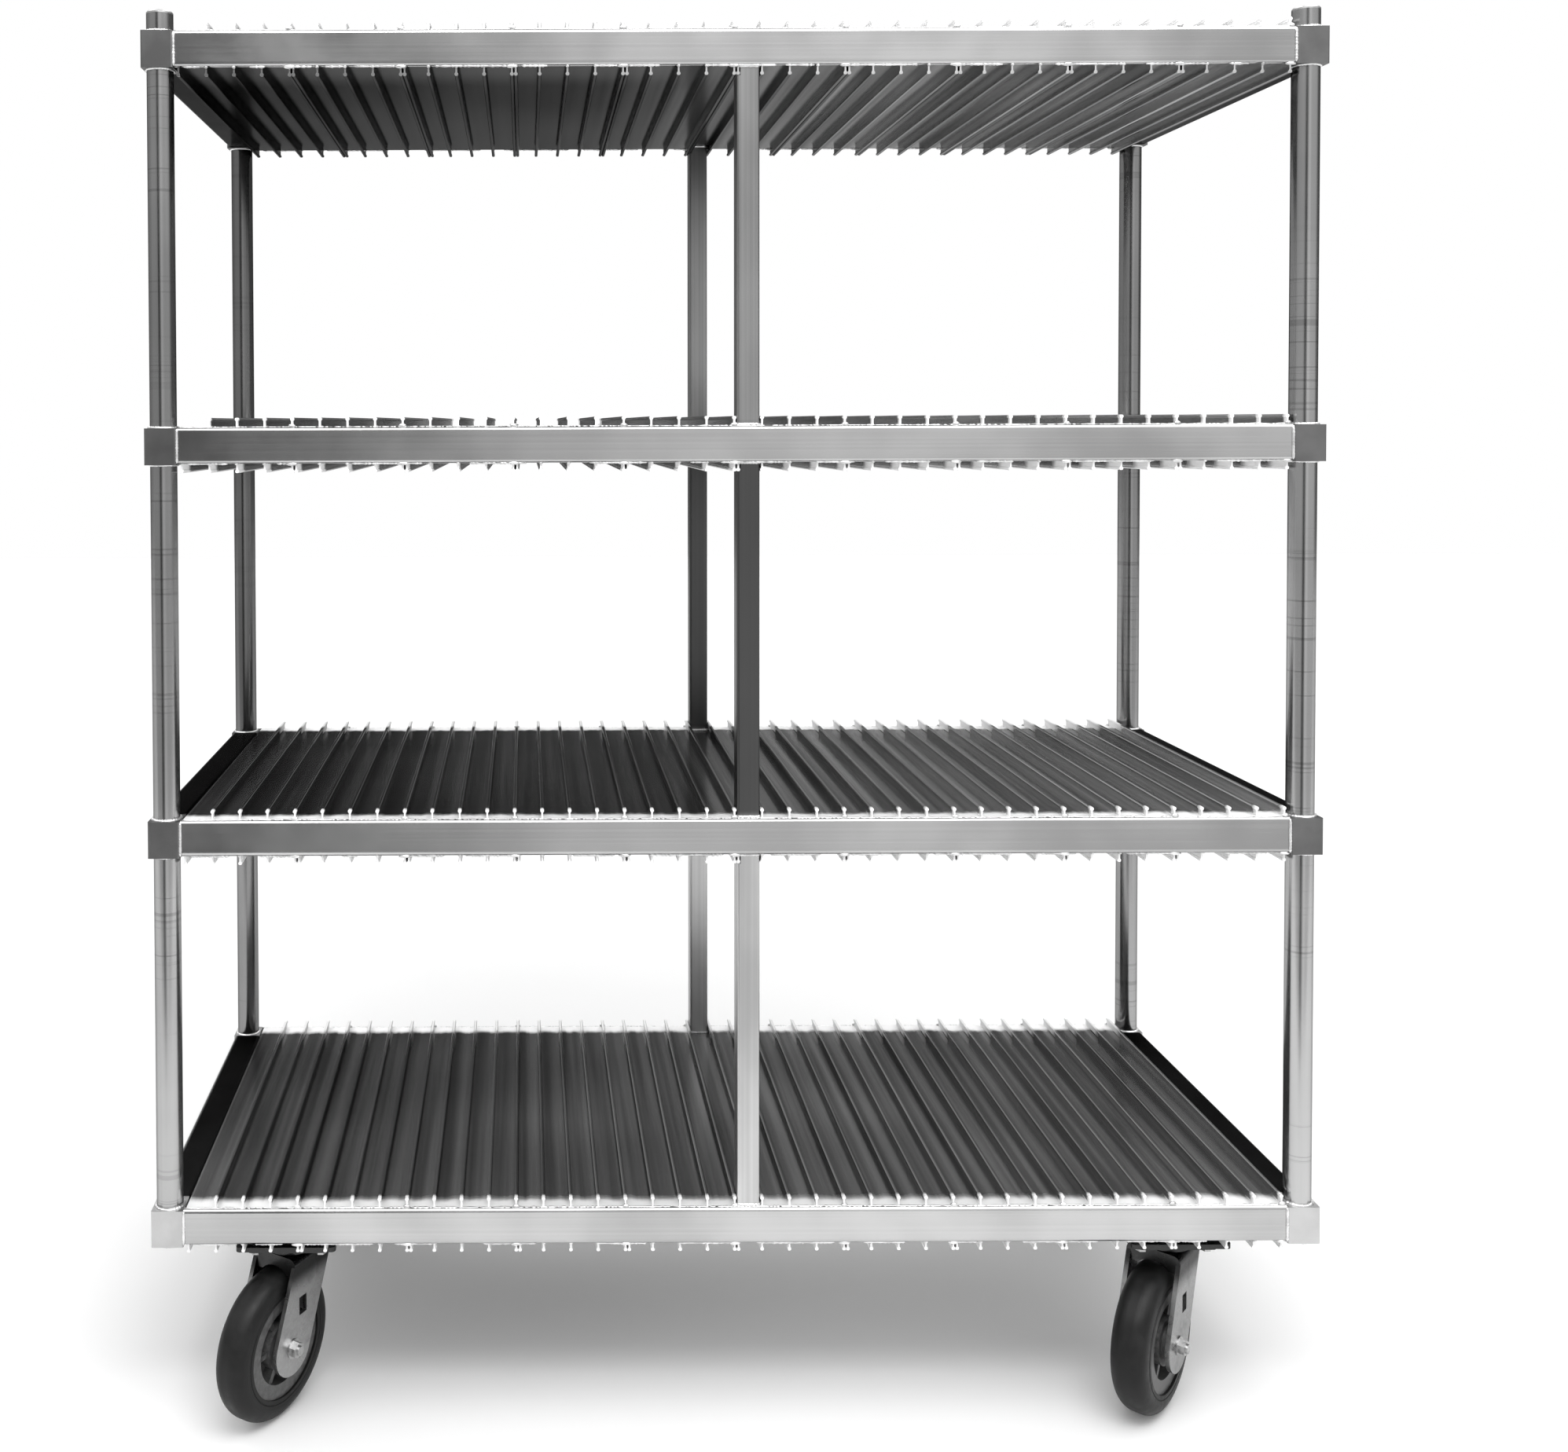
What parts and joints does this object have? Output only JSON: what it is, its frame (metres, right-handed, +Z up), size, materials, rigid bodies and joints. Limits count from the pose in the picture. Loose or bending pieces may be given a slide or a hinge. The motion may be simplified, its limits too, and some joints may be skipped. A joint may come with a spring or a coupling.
{
  "type": "sheet pan rack",
  "caption": "Mobile aluminium rack with ribbed plank decks in a welded frame of round corner posts and square centre posts, on swivel casters, for sheet pans and trays",
  "frame": {"origin": "on the floor under the middle of the rack", "axes": "+X to the right along the length, +Y from the front to the back, +Z up"},
  "size_m": [1.6244, 0.7626, 1.9712],
  "materials": {
    "aluminium_tube": "mill finish drawn tube, faint rings from handling",
    "aluminium_cast": "dull machined aluminium",
    "aluminium_plank": "glossy extruded, streaked along its length",
    "aluminium_rail": "mill finish extruded, fine die lines",
    "zinc_steel": "zinc plated pressed steel",
    "bright_steel": "bright plated steel",
    "wheel_core": "moulded grey core",
    "tyre_rubber": "moulded rubber, worn tread"
  },
  "bodies": {
    "rack": {"corner_post_front_left": "aluminium_tube", "corner_post_front_right": "aluminium_tube", "corner_post_rear_left": "aluminium_tube", "corner_post_rear_right": "aluminium_tube", "post_caps": "aluminium_cast", "corner_sleeves": "aluminium_cast", "centre_post_front": "aluminium_tube", "centre_post_rear": "aluminium_tube", "deck_planks_1": "aluminium_plank", "deck_planks_2": "aluminium_plank", "deck_planks_3": "aluminium_plank", "deck_planks_4": "aluminium_plank", "front_rail_1": "aluminium_rail", "front_rail_2": "aluminium_rail", "front_rail_3": "aluminium_rail", "front_rail_4": "aluminium_rail", "rear_rail_1": "aluminium_rail", "rear_rail_2": "aluminium_rail", "rear_rail_3": "aluminium_rail", "rear_rail_4": "aluminium_rail", "side_rails_1": "aluminium_rail", "side_rails_2": "aluminium_rail", "side_rails_3": "aluminium_rail", "side_rails_4": "aluminium_rail", "caster_pads": "aluminium_rail", "caster_bolts": "bright_steel", "caster_front_left_plate": "zinc_steel", "caster_front_right_plate": "zinc_steel", "caster_rear_left_plate": "zinc_steel", "caster_rear_right_plate": "zinc_steel"},
    "swivel_front_left": {"caster_front_left_balls": "bright_steel", "caster_front_left_fork": "zinc_steel", "caster_front_left_axle": "bright_steel"},
    "wheel_front_left": {"caster_front_left_bearing": "bright_steel", "caster_front_left_core": "wheel_core", "caster_front_left_tyre": "tyre_rubber"},
    "swivel_front_right": {"caster_front_right_balls": "bright_steel", "caster_front_right_fork": "zinc_steel", "caster_front_right_axle": "bright_steel"},
    "wheel_front_right": {"caster_front_right_bearing": "bright_steel", "caster_front_right_core": "wheel_core", "caster_front_right_tyre": "tyre_rubber"},
    "swivel_rear_left": {"caster_rear_left_balls": "bright_steel", "caster_rear_left_fork": "zinc_steel", "caster_rear_left_axle": "bright_steel"},
    "wheel_rear_left": {"caster_rear_left_bearing": "bright_steel", "caster_rear_left_core": "wheel_core", "caster_rear_left_tyre": "tyre_rubber"},
    "swivel_rear_right": {"caster_rear_right_balls": "bright_steel", "caster_rear_right_fork": "zinc_steel", "caster_rear_right_axle": "bright_steel"},
    "wheel_rear_right": {"caster_rear_right_bearing": "bright_steel", "caster_rear_right_core": "wheel_core", "caster_rear_right_tyre": "tyre_rubber"}
  },
  "joints": [
    {"name": "swivel_front_left", "type": "hinge", "parent": "rack", "child": "swivel_front_left", "pos_m": [-0.62865, -0.25, 0.2202], "axis": [0, 0, 1], "continuous": true},
    {"name": "wheel_front_left", "type": "hinge", "parent": "swivel_front_left", "child": "wheel_front_left", "pos_m": [-0.65183, -0.28857, 0.1016], "axis": [0.8572, -0.515, 0], "continuous": true},
    {"name": "swivel_front_right", "type": "hinge", "parent": "rack", "child": "swivel_front_right", "pos_m": [0.62865, -0.25, 0.2202], "axis": [0, 0, 1], "continuous": true},
    {"name": "wheel_front_right", "type": "hinge", "parent": "swivel_front_right", "child": "wheel_front_right", "pos_m": [0.59854, -0.28344, 0.1016], "axis": [0.7431, -0.6691, 0], "continuous": true},
    {"name": "swivel_rear_left", "type": "hinge", "parent": "rack", "child": "swivel_rear_left", "pos_m": [-0.62865, 0.25, 0.2202], "axis": [0, 0, 1], "continuous": true},
    {"name": "wheel_rear_left", "type": "hinge", "parent": "swivel_rear_left", "child": "wheel_rear_left", "pos_m": [-0.59854, 0.28344, 0.1016], "axis": [-0.7431, 0.6691, 0], "continuous": true},
    {"name": "swivel_rear_right", "type": "hinge", "parent": "rack", "child": "swivel_rear_right", "pos_m": [0.62865, 0.25, 0.2202], "axis": [0, 0, 1], "continuous": true},
    {"name": "wheel_rear_right", "type": "hinge", "parent": "swivel_rear_right", "child": "wheel_rear_right", "pos_m": [0.65183, 0.28857, 0.1016], "axis": [-0.8572, 0.515, 0], "continuous": true}
  ]
}
